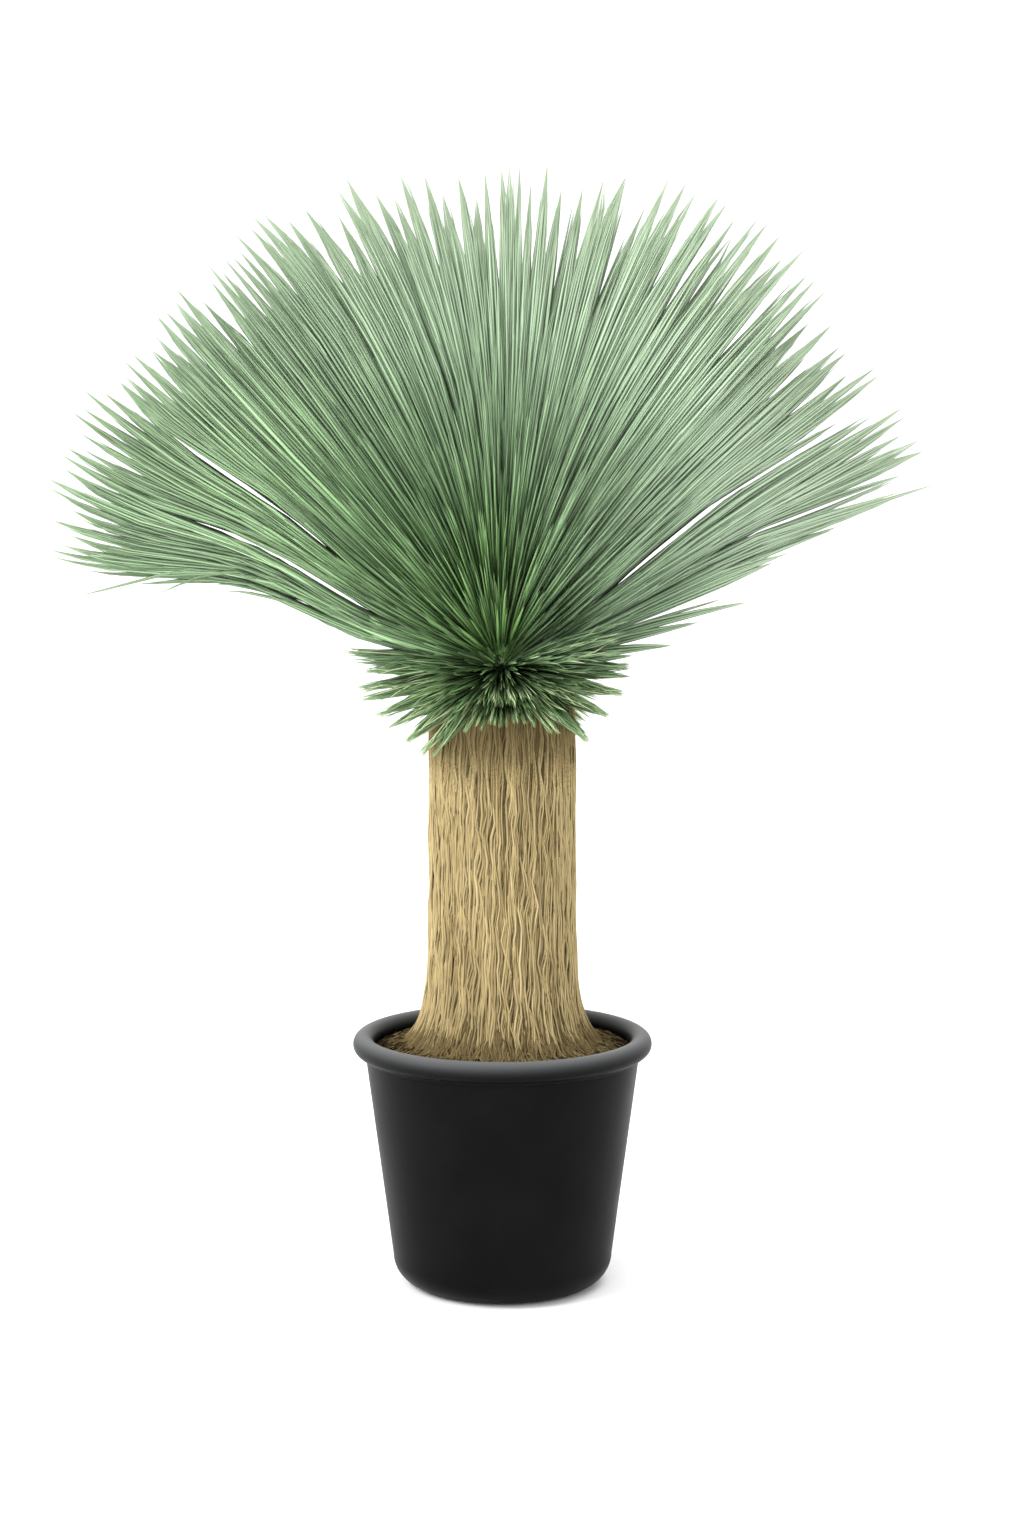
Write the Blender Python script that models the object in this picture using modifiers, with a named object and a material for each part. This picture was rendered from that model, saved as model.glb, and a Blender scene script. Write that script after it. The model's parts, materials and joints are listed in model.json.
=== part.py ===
"""Beaked yucca in a round plastic nursery pot, standing on its foot.

Metres, +Z up. The origin is the centre of the pot's underside, and the front of the plant faces -Y.
Pieces: the pot, the potting mix, the trunk in its thatch of dead fibre, and the leaf head.
"""

import math

import bmesh
import bpy
from mathutils import Matrix, Vector

# Sizes of the pot
RIM_OUTER_RADIUS = 0.160
RIM_ROLL_RADIUS = 0.0113
POT_HEIGHT = 0.272
WALL = 0.003
WALL_RADIUS_AT_RIM = 0.1483
WALL_RADIUS_AT_GROUND = 0.1137
FOOT_CORNER_RADIUS = 0.0316
CENTRE_PAD_RADIUS = 0.028
DRAIN_RING_INNER = 0.033
DRAIN_RING_OUTER = 0.070
FOOT_RING_INNER = 0.075
FLOOR_RISE = 0.004
DRAIN_HOLE_RADIUS = 0.0065
DRAIN_HOLE_CIRCLE = 0.0515
DRAIN_HOLES = 8
ROUND_STEPS = 40

# Sizes of the potting mix
GAP = 0.0003
SOIL_LEVEL_AT_WALL = 0.250
SOIL_LEVEL_AT_TRUNK = 0.2605
SOIL_LUMP = 0.0022
PLANTING_HOLE_FLOOR = 0.180

# Sizes of the trunk
TRUNK_RADIUS = 0.0755
TRUNK_TAPER = 0.0035
FLARE_WIDTH = 0.028
FLARE_DECAY = 0.027
FLARE_FOOT_HEIGHT = 0.262
ROOT_PLUG_RADIUS = 0.060
TRUNK_SHOULDER = 0.596
TRUNK_TOP = 0.603
TRUNK_TOP_RADIUS = 0.071
THATCH_STRANDS = 42
THATCH_DEPTH = 0.0030
TRUNK_ROWS = 9

# Sizes of the leaf head
HEAD_CENTRE = Vector((0.003, 0.0, 0.671))
HEAD_TIP_BACK = math.radians(4.6)
CORE_RADIUS = 0.076
COLLAR_RADIUS = 0.084
CORE_SEAT_RADIUS = 0.078
ROOT_DEPTH = 0.055
LEAF_REACH = 0.530
LEAF_WIDTH = 0.0145
SHORT_LEAF_WIDTH = 0.0175
LEAF_THICKNESS = 0.0042
LONG_LEAVES = 320
SHORT_LEAVES = 185
SHORT_REACH = 0.156
LONGER_ON_RIGHT = 0.058
ARCH_ON_LEFT = math.radians(17)
ARCH_ON_RIGHT = math.radians(11)
LOWEST_AT_SIDES = math.radians(15)
LOWEST_LEAN = math.radians(6)
LOWEST_AT_FRONT = math.radians(50)
SKIRT_TOP_AT_FRONT = math.radians(-3)
SKIRT_BOTTOM_AT_SIDES = math.radians(-40)
SKIRT_BOTTOM_AT_FRONT = math.radians(-35)
GOLDEN_ANGLE = math.pi * (3 - math.sqrt(5))

# Where the long leaves part into clumps: angle round the front, half width, and reach where the gap starts
PARTINGS = [
    (math.radians(25.0), math.radians(0.9), 0.24),
    (math.radians(36.5), math.radians(1.5), 0.15),
    (math.radians(53.5), math.radians(0.8), 0.30),
    (math.radians(65.0), math.radians(1.0), 0.32),
    (math.radians(73.5), math.radians(1.6), 0.33),
    (math.radians(81.0), math.radians(1.8), 0.33),
    (math.radians(146.0), math.radians(0.9), 0.24),
    (math.radians(156.5), math.radians(1.0), 0.15),
]
PARTING_SPREAD = math.radians(4)
PARTING_RUN = 0.10


# Collections and materials

def clear_scene():
    for obj in list(bpy.data.objects):
        bpy.data.objects.remove(obj, do_unlink=True)


def new_collection(name):
    collection = bpy.data.collections.new(name)
    bpy.context.scene.collection.children.link(collection)
    return collection


def surface(name, color, roughness):
    material = bpy.data.materials.new(name)
    material.use_nodes = True
    shader = material.node_tree.nodes["Principled BSDF"]
    shader.inputs["Base Color"].default_value = (*color, 1.0)
    shader.inputs["Roughness"].default_value = roughness
    shader.inputs["Metallic"].default_value = 0.0
    return material


def add_object(name, mesh, collection, material=None):
    obj = bpy.data.objects.new(name, mesh)
    collection.objects.link(obj)
    if material:
        mesh.materials.clear()
        mesh.materials.append(material)
    return obj


# Shapes that several pieces use

def scatter(index, channel):
    """An even-looking number from 0 to 1 that depends on nothing but its two whole numbers."""
    value = math.sin(index * 12.9898 + channel * 78.233) * 43758.5453
    return value - math.floor(value)


def smooth_step(value):
    value = min(1.0, max(0.0, value))
    return value * value * (3 - 2 * value)


def arc_points(centre, radius, start, end, count):
    """Points along an arc in the profile's plane, angles in degrees from the outward direction."""
    points = []
    for step in range(count + 1):
        angle = math.radians(start + (end - start) * step / count)
        points.append((centre[0] + radius * math.cos(angle), centre[1] + radius * math.sin(angle)))
    return points


def turned(name, profile, collection, steps=ROUND_STEPS):
    """Turns a profile of (radius, height) points about the Z axis and returns the applied object."""
    mesh = bpy.data.meshes.new(name + "_profile")
    mesh.from_pydata([(x, 0.0, z) for x, z in profile], [(i, i + 1) for i in range(len(profile) - 1)], [])
    obj = add_object(name, mesh, collection)
    screw = obj.modifiers.new("Turn", "SCREW")
    screw.steps = steps
    screw.render_steps = steps
    screw.use_merge_vertices = True
    screw.merge_threshold = 0.00001
    return apply_modifiers(obj)


def apply_modifiers(obj):
    """Replaces the object's mesh with the one that its modifiers make."""
    graph = bpy.context.evaluated_depsgraph_get()
    baked = bpy.data.meshes.new_from_object(obj.evaluated_get(graph))
    obj.modifiers.clear()
    obj.data = baked
    return obj


def join_with(obj, operands, operation, solver):
    """One Boolean on a whole collection, applied, after which the collection's objects are removed."""
    boolean = obj.modifiers.new(operation.title(), "BOOLEAN")
    boolean.operation = operation
    boolean.operand_type = "COLLECTION"
    boolean.collection = operands
    boolean.solver = solver
    bpy.context.view_layer.update()
    apply_modifiers(obj)
    for operand in list(operands.objects):
        bpy.data.objects.remove(operand, do_unlink=True)
    bpy.data.collections.remove(operands)


def shade_round(obj, angle_degrees):
    obj.data.shade_smooth()
    obj.data.set_sharp_from_angle(angle=math.radians(angle_degrees))


# The pot

def rim_height():
    return POT_HEIGHT - RIM_ROLL_RADIUS


def wall_radius(height):
    """Outer radius of the tapered wall."""
    share = height / rim_height()
    return WALL_RADIUS_AT_GROUND + (WALL_RADIUS_AT_RIM - WALL_RADIUS_AT_GROUND) * share


def foot_corner(inset, count):
    """The rounded foot corner, from the wall down to the ground, moved in by the inset."""
    centre = (wall_radius(FOOT_CORNER_RADIUS) - FOOT_CORNER_RADIUS, FOOT_CORNER_RADIUS)
    return arc_points(centre, FOOT_CORNER_RADIUS - inset, 0, -90, count)


def floor_line(lift):
    """The underside from the foot ring to the axis, lifted for the floor's inner face or the mix on it."""
    return [
        (FOOT_RING_INNER, lift),
        (DRAIN_RING_OUTER, lift + FLOOR_RISE),
        (DRAIN_RING_INNER, lift + FLOOR_RISE),
        (CENTRE_PAD_RADIUS, lift),
        (0.0, lift),
    ]


def pot_profile():
    roll_centre = (RIM_OUTER_RADIUS - RIM_ROLL_RADIUS, rim_height())
    inside = foot_corner(WALL, 4) + floor_line(WALL)
    top = [(wall_radius(rim_height() - RIM_ROLL_RADIUS) - WALL, rim_height() - 0.9 * RIM_ROLL_RADIUS)]
    roll = arc_points(roll_centre, RIM_ROLL_RADIUS, 245, -65, 9)
    outside = foot_corner(0.0, 5) + floor_line(0.0)
    return list(reversed(inside)) + top + roll + outside


def make_pot(collection, cutters, material):
    pot = turned("pot", pot_profile(), collection)
    for index in range(DRAIN_HOLES):
        angle = math.tau * (index + 0.5) / DRAIN_HOLES
        bm = bmesh.new()
        bmesh.ops.create_cone(bm, cap_ends=True, segments=12, radius1=DRAIN_HOLE_RADIUS,
                              radius2=DRAIN_HOLE_RADIUS, depth=6 * WALL)
        mesh = bpy.data.meshes.new(f"drain_hole_{index + 1}")
        bm.to_mesh(mesh)
        bm.free()
        hole = add_object(mesh.name, mesh, cutters)
        hole.location = (DRAIN_HOLE_CIRCLE * math.cos(angle), DRAIN_HOLE_CIRCLE * math.sin(angle), FLOOR_RISE)
        hole.hide_render = True
        hole.display_type = "WIRE"
    join_with(pot, cutters, "DIFFERENCE", "EXACT")
    pot.data.materials.clear()
    pot.data.materials.append(material)
    shade_round(pot, 35)


# The potting mix

def make_soil(collection, material):
    hole_radius = ROOT_PLUG_RADIUS + GAP
    flare_edge = flare_radius(FLARE_FOOT_HEIGHT)
    wall_edge = wall_radius(SOIL_LEVEL_AT_WALL) - WALL - GAP
    surface_line = [(hole_radius, SOIL_LEVEL_AT_TRUNK), (flare_edge, SOIL_LEVEL_AT_TRUNK)]
    for step in range(1, 4):
        share = step / 4
        drop = (SOIL_LEVEL_AT_TRUNK - SOIL_LEVEL_AT_WALL) * share ** 1.5
        surface_line.append((flare_edge + (wall_edge - flare_edge) * share, SOIL_LEVEL_AT_TRUNK - drop))
    profile = [(0.0, PLANTING_HOLE_FLOOR), (hole_radius, PLANTING_HOLE_FLOOR)]
    profile += surface_line + [(wall_edge, SOIL_LEVEL_AT_WALL)]
    profile += foot_corner(WALL + GAP, 4) + floor_line(WALL + GAP)
    soil = turned("potting_mix", profile, collection)
    for vertex in soil.data.vertices:
        radius = math.hypot(vertex.co.x, vertex.co.y)
        if vertex.co.z > SOIL_LEVEL_AT_WALL + GAP and radius > flare_edge + GAP:
            angle = math.atan2(vertex.co.y, vertex.co.x)
            lump = math.sin(7 * angle + 90 * radius) * math.sin(13 * angle - 160 * radius)
            vertex.co.z += SOIL_LUMP * lump
    soil.data.materials.append(material)
    shade_round(soil, 50)


# The trunk in its thatch

def flare_radius(height):
    """Mean radius of the thatch: a slow taper, and a flare where the strands run out over the mix."""
    down = max(0.0, (TRUNK_SHOULDER - height) / TRUNK_SHOULDER)
    flare = math.exp(-(height - FLARE_FOOT_HEIGHT) / FLARE_DECAY)
    return TRUNK_RADIUS + TRUNK_TAPER * down + FLARE_WIDTH * flare


def strand_relief(strand, height):
    """How far one strand of the thatch stands out of the mean surface, from -1 to 1."""
    level = 2 * scatter(strand, 1) - 1
    wave = math.sin(math.tau * (height * (9 + 5 * scatter(strand, 2)) + scatter(strand, 3)))
    return 0.6 * level + 0.4 * wave


def make_trunk(collection, material):
    top = [(0.0, TRUNK_TOP), (TRUNK_TOP_RADIUS, TRUNK_TOP)]
    side = []
    for row in range(TRUNK_ROWS + 1):
        share = row / TRUNK_ROWS
        height = TRUNK_SHOULDER - (TRUNK_SHOULDER - FLARE_FOOT_HEIGHT) * (1 - (1 - share) ** 1.7)
        side.append((flare_radius(height), height))
    seat = SOIL_LEVEL_AT_TRUNK + GAP
    foot = [(flare_radius(FLARE_FOOT_HEIGHT) - 0.003, seat), (ROOT_PLUG_RADIUS, seat)]
    plug = [(ROOT_PLUG_RADIUS, PLANTING_HOLE_FLOOR + GAP), (0.0, PLANTING_HOLE_FLOOR + GAP)]
    trunk = turned("trunk", top + list(side) + foot + plug, collection, 2 * THATCH_STRANDS)
    for vertex in trunk.data.vertices:
        height = vertex.co.z
        radius = math.hypot(vertex.co.x, vertex.co.y)
        on_side = FLARE_FOOT_HEIGHT - GAP < height < TRUNK_SHOULDER + GAP
        if on_side and radius > TRUNK_TOP_RADIUS + GAP:
            column = round(math.atan2(vertex.co.y, vertex.co.x) / math.tau * 2 * THATCH_STRANDS)
            column %= 2 * THATCH_STRANDS
            crest = 1 if column % 2 else -1
            relief = 0.55 * crest + 0.45 * strand_relief(column, height)
            scale = 1 + relief * THATCH_DEPTH / radius
            vertex.co.x *= scale
            vertex.co.y *= scale
    trunk.data.materials.append(material)
    shade_round(trunk, 60)


# The leaf head

def lowest_long_leaf(azimuth):
    """Elevation of the lowest long leaves: level at the sides, lower on the left, raised at front and back."""
    side = LOWEST_AT_SIDES + LOWEST_LEAN * math.cos(azimuth)
    return LOWEST_AT_FRONT * math.sin(azimuth) ** 2 + side * math.cos(azimuth) ** 2


def long_leaf(index):
    """Angle round the front, lean out of the front plane, reach, and depth of the root, of one long leaf."""
    azimuth = index * GOLDEN_ANGLE + 0.10 * (scatter(index, 1) - 0.5)
    share = (index + 0.5 + 0.8 * (scatter(index, 2) - 0.5)) / LONG_LEAVES
    lowest = lowest_long_leaf(azimuth)
    rise = 1 - share * (1 - math.sin(lowest))
    level = math.sqrt(1 - rise * rise)
    above = math.degrees(math.asin(rise) - lowest)
    reach = LEAF_REACH * (0.91 + 0.09 * scatter(index, 3)) * (0.92 + 0.08 * smooth_step(above / 9))
    reach *= 1 + LONGER_ON_RIGHT * max(0.0, level * math.cos(azimuth)) ** 2
    angle = math.atan2(rise, level * math.cos(azimuth))
    lean = math.asin(level * math.sin(azimuth))
    return angle, lean, reach, ROOT_DEPTH * math.sin(azimuth) * smooth_step(level)


def short_leaf(index):
    """The same for the short leaves, which fill in below the long ones and hang over the trunk."""
    azimuth = index * GOLDEN_ANGLE + 0.12 * (scatter(index, 4) - 0.5)
    share = (index + 0.5) / SHORT_LEAVES
    beside = math.cos(azimuth) ** 2
    highest = lowest_long_leaf(azimuth) * beside + SKIRT_TOP_AT_FRONT * (1 - beside) - math.radians(3)
    lowest = SKIRT_BOTTOM_AT_SIDES * beside + SKIRT_BOTTOM_AT_FRONT * (1 - beside)
    elevation = highest - share ** 0.8 * (highest - lowest)
    stretch = 1.25 * beside * smooth_step(elevation / math.radians(16) - 0.1)
    reach = SHORT_REACH * (0.88 + 0.24 * scatter(index, 5) + stretch)
    angle = math.atan2(math.sin(elevation), math.cos(elevation) * math.cos(azimuth))
    lean = math.asin(math.cos(elevation) * math.sin(azimuth))
    return angle, lean, reach, 0.0


def parting_shift(angle, reach_here):
    """How far the gaps between clumps push a leaf round the front, at a reach along it."""
    shift = 0.0
    for middle, half_width, start in PARTINGS:
        side = 1 if angle >= middle else -1
        near = math.exp(-abs(angle - middle) / PARTING_SPREAD)
        shift += side * half_width * near * smooth_step((reach_here - start) / PARTING_RUN)
    return shift


def leaf_point(leaf, share):
    """A point along a leaf's middle line, from the head's centre at 0 to the tip at 1, in the world frame."""
    angle, lean, reach, root_depth = leaf
    across = share * reach * math.cos(lean)
    arch = ARCH_ON_RIGHT if math.cos(angle) > 0 else ARCH_ON_LEFT
    arch *= math.cos(angle) * abs(math.cos(angle)) * (1 - across / LEAF_REACH)
    turn = angle + arch + parting_shift(angle, across)
    depth = share * reach * math.sin(lean) + root_depth * (1 - share)
    local = Vector((across * math.cos(turn), depth, across * math.sin(turn)))
    return HEAD_CENTRE + Matrix.Rotation(-HEAD_TIP_BACK, 3, "X") @ local


def blade_width(share):
    """Width along a leaf, as a share of its widest: a narrow neck, widest by a third, then a long taper."""
    neck = 0.38 + 0.62 * smooth_step((share - 0.10) / 0.28)
    return neck * (1 - smooth_step((share - 0.36) / 1.10)) ** 1.2


def make_needle(name, leaf, index, stations, width, thickness, collection):
    """A three-sided blade: a cone cut at its stations, with each ring carried to its place on the leaf."""
    bm = bmesh.new()
    bmesh.ops.create_cone(bm, cap_ends=True, segments=3, radius1=1.0, radius2=0.0, depth=1.0)
    bmesh.ops.remove_doubles(bm, verts=bm.verts, dist=0.0001)
    for station in range(1, len(stations) - 1):
        height = station / (len(stations) - 1) - 0.5
        bmesh.ops.bisect_plane(bm, geom=bm.verts[:] + bm.edges[:] + bm.faces[:],
                               plane_co=(0, 0, height), plane_no=(0, 0, 1))
    roll = math.radians(70) * (scatter(index, 6) - 0.5)
    for vertex in bm.verts:
        level = round((vertex.co.z + 0.5) * (len(stations) - 1))
        share = stations[level]
        middle = leaf_point(leaf, share)
        along = (leaf_point(leaf, share + 0.01) - leaf_point(leaf, share - 0.01)).normalized()
        sideways = along.cross(Vector((0, 0, 1))).normalized()
        upward = sideways.cross(along)
        corner = math.atan2(vertex.co.y, vertex.co.x) if level < len(stations) - 1 else 0.0
        size = blade_width(share) if level < len(stations) - 1 else 0.0
        flat = Vector((math.sin(corner) * width / math.sqrt(3), 0.5 * math.cos(corner) * thickness))
        flat = Matrix.Rotation(roll, 2) @ flat
        vertex.co = middle + size * (flat.x * sideways + flat.y * upward)
    bmesh.ops.triangulate(bm, faces=bm.faces)
    bmesh.ops.recalc_face_normals(bm, faces=bm.faces)
    mesh = bpy.data.meshes.new(name)
    bm.to_mesh(mesh)
    bm.free()
    return add_object(name, mesh, collection)


def core_profile():
    """The head's core: a dome of packed leaf bases with a flat seat on top of the trunk."""
    dome = arc_points((0.0, HEAD_CENTRE.z), CORE_RADIUS, 90, 5, 5)
    seat = TRUNK_TOP + GAP
    collar = [(COLLAR_RADIUS, seat + 0.032), (COLLAR_RADIUS - 0.002, seat + 0.006)]
    return dome + collar + [(CORE_SEAT_RADIUS, seat), (0.0, seat)]


def make_leaf_head(collection, material):
    head = turned("leaf_head", core_profile(), collection, 16)
    leaves = new_collection("leaves")
    root = 0.55 * CORE_RADIUS
    for index in range(LONG_LEAVES):
        leaf = long_leaf(index)
        start = root / leaf[2]
        arched = abs(math.cos(leaf[0])) > 0.75
        stations = [start, 0.40, 0.72, 1.0] if arched else [start, 0.55, 1.0]
        make_needle(f"long_leaf_{index + 1}", leaf, index, stations, LEAF_WIDTH, LEAF_THICKNESS, leaves)
    for index in range(SHORT_LEAVES):
        leaf = short_leaf(index)
        start = root / leaf[2]
        stations = [start, 0.5 + 0.5 * start, 1.0]
        make_needle(f"short_leaf_{index + 1}", leaf, index + LONG_LEAVES, stations,
                    SHORT_LEAF_WIDTH, LEAF_THICKNESS, leaves)
    join_with(head, leaves, "UNION", "MANIFOLD")
    head.data.materials.clear()
    head.data.materials.append(material)


# The whole plant

def main():
    clear_scene()
    plant = new_collection("beaked_yucca")
    cutters = new_collection("cutters")
    make_pot(plant, cutters, surface("black_plastic", (0.022, 0.022, 0.021), 0.45))
    make_soil(plant, surface("bark_mix", (0.105, 0.068, 0.036), 0.95))
    make_trunk(plant, surface("dry_thatch", (0.48, 0.35, 0.17), 0.85))
    make_leaf_head(plant, surface("sage_leaf", (0.20, 0.36, 0.20), 0.55))


main()
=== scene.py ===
import json
import math
import bpy
import numpy as np
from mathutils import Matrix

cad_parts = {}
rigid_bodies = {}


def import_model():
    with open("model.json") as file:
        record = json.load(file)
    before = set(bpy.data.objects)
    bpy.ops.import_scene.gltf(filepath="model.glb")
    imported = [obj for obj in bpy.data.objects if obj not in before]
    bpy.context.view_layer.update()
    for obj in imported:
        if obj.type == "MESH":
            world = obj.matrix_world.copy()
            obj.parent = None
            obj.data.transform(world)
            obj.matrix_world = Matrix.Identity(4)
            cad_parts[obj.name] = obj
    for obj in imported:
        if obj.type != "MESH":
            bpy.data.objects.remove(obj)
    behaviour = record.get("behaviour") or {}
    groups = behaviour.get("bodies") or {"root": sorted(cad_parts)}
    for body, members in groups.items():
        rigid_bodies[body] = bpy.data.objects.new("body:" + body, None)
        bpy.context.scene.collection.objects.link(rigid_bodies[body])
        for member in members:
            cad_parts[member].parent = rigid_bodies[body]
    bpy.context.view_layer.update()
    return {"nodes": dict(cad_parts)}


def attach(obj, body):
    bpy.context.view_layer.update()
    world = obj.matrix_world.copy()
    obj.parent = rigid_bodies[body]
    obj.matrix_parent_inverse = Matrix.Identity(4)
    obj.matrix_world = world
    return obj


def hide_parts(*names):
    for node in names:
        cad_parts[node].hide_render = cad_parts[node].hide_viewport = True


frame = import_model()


# Small maths used by every piece

# Steps that spread numbers evenly from 0 to 1, along a line and over a square
goldenStep = 0.618034
evenSteps = (0.7548777, 0.5698403)


def smoothStep(x):
    # 3x^2 - 2x^3 between 0 and 1, flat outside
    x = np.clip(x, 0.0, 1.0)
    return x * x * (3 - 2 * x)


def unit(vectors):
    # each vector divided by its length
    return vectors / np.maximum(np.linalg.norm(vectors, axis=-1, keepdims=True), 1e-9)


def taper(s, over):
    # 1 along a blade, falling in a straight line to 0 at its tip over the last share of its length
    return np.clip((1 - s) / over, 0, 1)


def polar(radius, angle, z):
    # points at a radius and an angle round the Z axis, at a height
    return np.stack(np.broadcast_arrays(radius * np.cos(angle), radius * np.sin(angle), z), axis=-1)


def arcPoints(centre, radius, start, end, count):
    # points on an arc, angles in degrees from straight outwards
    angles = np.radians(np.linspace(start, end, count + 1))
    return np.stack([centre[0] + radius * np.cos(angles), centre[1] + radius * np.sin(angles)], axis=-1)


def softNoise(x, y, seed):
    # sum of five sines in two directions with seeded phases, about -1 to 1
    waves = np.random.default_rng(seed)
    total = np.zeros(np.broadcast(x, y).shape)
    for k in range(5):
        a, b, phase = waves.uniform(0.5, 2.2), waves.uniform(0.5, 2.2), waves.uniform(0, math.tau)
        total = total + np.sin(a * x * (1 + 0.6 * k) + b * y * (1 + 0.5 * k) + phase) / (1 + 0.5 * k)
    return total / 2.2


# Meshes from arrays

def addMesh(name, points, quads, triangles, material, numbers=None, smooth=True):
    # one mesh from arrays of points, four-cornered and three-cornered faces, and numbers named for each point
    mesh = bpy.data.meshes.new(name)
    corners = np.concatenate([np.ravel(quads), np.ravel(triangles)]).astype(np.int32)
    starts = np.concatenate([np.arange(len(quads)) * 4, len(quads) * 4 + np.arange(len(triangles)) * 3])
    mesh.vertices.add(len(points))
    mesh.vertices.foreach_set("co", np.asarray(points, dtype=np.float32).ravel())
    mesh.loops.add(len(corners))
    mesh.loops.foreach_set("vertex_index", corners)
    mesh.polygons.add(len(starts))
    mesh.polygons.foreach_set("loop_start", starts.astype(np.int32))
    mesh.update(calc_edges=True)
    mesh.polygons.foreach_set("use_smooth", np.full(len(starts), smooth))
    for label, values in (numbers or {}).items():
        layer = mesh.attributes.new(label, "FLOAT", "POINT")
        layer.data.foreach_set("value", np.asarray(values, dtype=np.float32).ravel())
    mesh.validate()
    mesh.materials.append(material)
    piece = bpy.data.objects.new(name, mesh)
    bpy.context.scene.collection.objects.link(piece)
    return piece


def addBlades(name, paths, halfWidth, thick, facing, material, numbers):
    # Each blade is a thin three-sided prism carried along its path: one edge, the raised rib and the other
    # edge at every station, with a flat back, closed by a flat root and a single tip point. A number given
    # for each blade or station is spread over its points; across is 1 and -1 on the edges and 0 between.
    count, stations, _ = paths.shape
    along = unit(np.gradient(paths, axis=1))
    sideways = unit(np.cross(facing, along))
    outward = np.cross(along, sideways)
    wide = halfWidth[..., None] * sideways
    raised = np.asarray(thick)[..., None] * outward
    rings = np.stack([paths + wide, paths + raised, paths - wide], axis=2)[:, :-1]
    points = np.concatenate([rings.reshape(count, -1, 3), paths[:, -1:, :]], axis=1)
    perBlade = (stations - 1) * 3 + 1
    ring = np.arange(stations - 2)[:, None] * 3
    side = np.arange(3)[None, :]
    after = (side + 1) % 3
    quads = np.stack([ring + side, ring + after, ring + 3 + after, ring + 3 + side], axis=-1).reshape(-1, 4)
    last = (stations - 2) * 3
    tips = np.stack([last + side[0], last + after[0], np.full(3, perBlade - 1)], axis=-1)
    tips = np.concatenate([tips, [[2, 1, 0]]])
    shift = np.arange(count)[:, None, None] * perBlade
    spread = {"across": np.tile([1.0, 0.0, -1.0] * (stations - 1) + [0.0], count)}
    for label, values in numbers.items():
        values = values * np.ones((count, stations))
        spread[label] = np.concatenate([np.repeat(values[:, :-1], 3, axis=1), values[:, -1:]], axis=1)
    return addMesh(name, points.reshape(-1, 3), (quads + shift).reshape(-1, 4), (tips + shift).reshape(-1, 3),
                   material, spread, smooth=False)


def turnedMesh(name, profile, steps, material):
    # A closed profile of (radius, height) points carried round the Z axis; those on the axis become poles
    profile = np.asarray(profile, dtype=float)
    onAxis = profile[:, 0] < 1e-6
    ringIndex = np.cumsum(~onAxis) - 1
    rings = profile[~onAxis]
    step = np.arange(steps)
    points = polar(rings[:, :1], step * math.tau / steps, rings[:, 1:]).reshape(-1, 3)
    points = np.concatenate([points, polar(0.0, 0.0, profile[onAxis, 1])])
    poleIndex = len(rings) * steps + np.cumsum(onAxis) - 1
    after = (step + 1) % steps
    quads, triangles = [np.zeros((0, 4), dtype=int)], [np.zeros((0, 3), dtype=int)]
    for row in range(len(profile) - 1):
        if onAxis[row] and onAxis[row + 1]:
            continue
        a, b = ringIndex[row] * steps, ringIndex[row + 1] * steps
        first = [0 * step + poleIndex[row]] if onAxis[row] else [a + after, a + step]
        second = [0 * step + poleIndex[row + 1]] if onAxis[row + 1] else [b + step, b + after]
        faces = np.stack(first + second, axis=-1)
        (quads if faces.shape[1] == 4 else triangles).append(faces)
    return addMesh(name, points, np.concatenate(quads), np.concatenate(triangles), material)


# Shader groups used by more than one finish

def newGroup(name, inputs, outputs):
    # an empty shader group with named sockets: numbers, and a vector where the name is Vector
    group = bpy.data.node_groups.new(name, "ShaderNodeTree")
    for way, labels in (("INPUT", inputs), ("OUTPUT", outputs)):
        for label in labels:
            kind = "NodeSocketVector" if label == "Vector" else "NodeSocketFloat"
            group.interface.new_socket(name=label, in_out=way, socket_type=kind)
    return group, group.nodes.new("NodeGroupInput"), group.nodes.new("NodeGroupOutput")


def give(tree, socket, value):
    # links another socket to this one, or sets it to a plain number or colour
    if isinstance(value, bpy.types.NodeSocket):
        tree.links.new(value, socket)
    else:
        socket.default_value = (*value, 1.0) if isinstance(value, tuple) else value


def node(tree, kind, given=None, **settings):
    # a shader node with its settings, and with what is given to its inputs by their names or places
    made = tree.nodes.new(kind)
    for label, value in settings.items():
        setattr(made, label, value)
    for place, value in (given or {}).items():
        give(tree, made.inputs[place], value)
    return made


def mathNode(tree, operation, *values):
    # one arithmetic step on sockets or plain numbers
    return node(tree, "ShaderNodeMath", dict(enumerate(values)), operation=operation).outputs[0]


def runBetween(tree, share, first, second):
    # the first number where the share is 0, the second where it is 1, and a straight line between
    return mathNode(tree, "MULTIPLY_ADD", share, second - first, first)


def mixColour(tree, blend, amount, first, second):
    # mixes two colours, each a socket or a plain colour
    given = {0: amount, 6: first, 7: second}
    return node(tree, "ShaderNodeMix", given, data_type="RGBA", blend_type=blend).outputs[2]


def ramp(tree, factor, stops):
    # a colour ramp with linear steps between its stops
    made = node(tree, "ShaderNodeValToRGB", {0: factor})
    elements = made.color_ramp.elements
    while len(elements) < len(stops):
        elements.new(0.5)
    for element, (position, colour) in zip(elements, stops):
        element.position = position
        element.color = (*colour, 1.0)
    return made.outputs[0]


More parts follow.
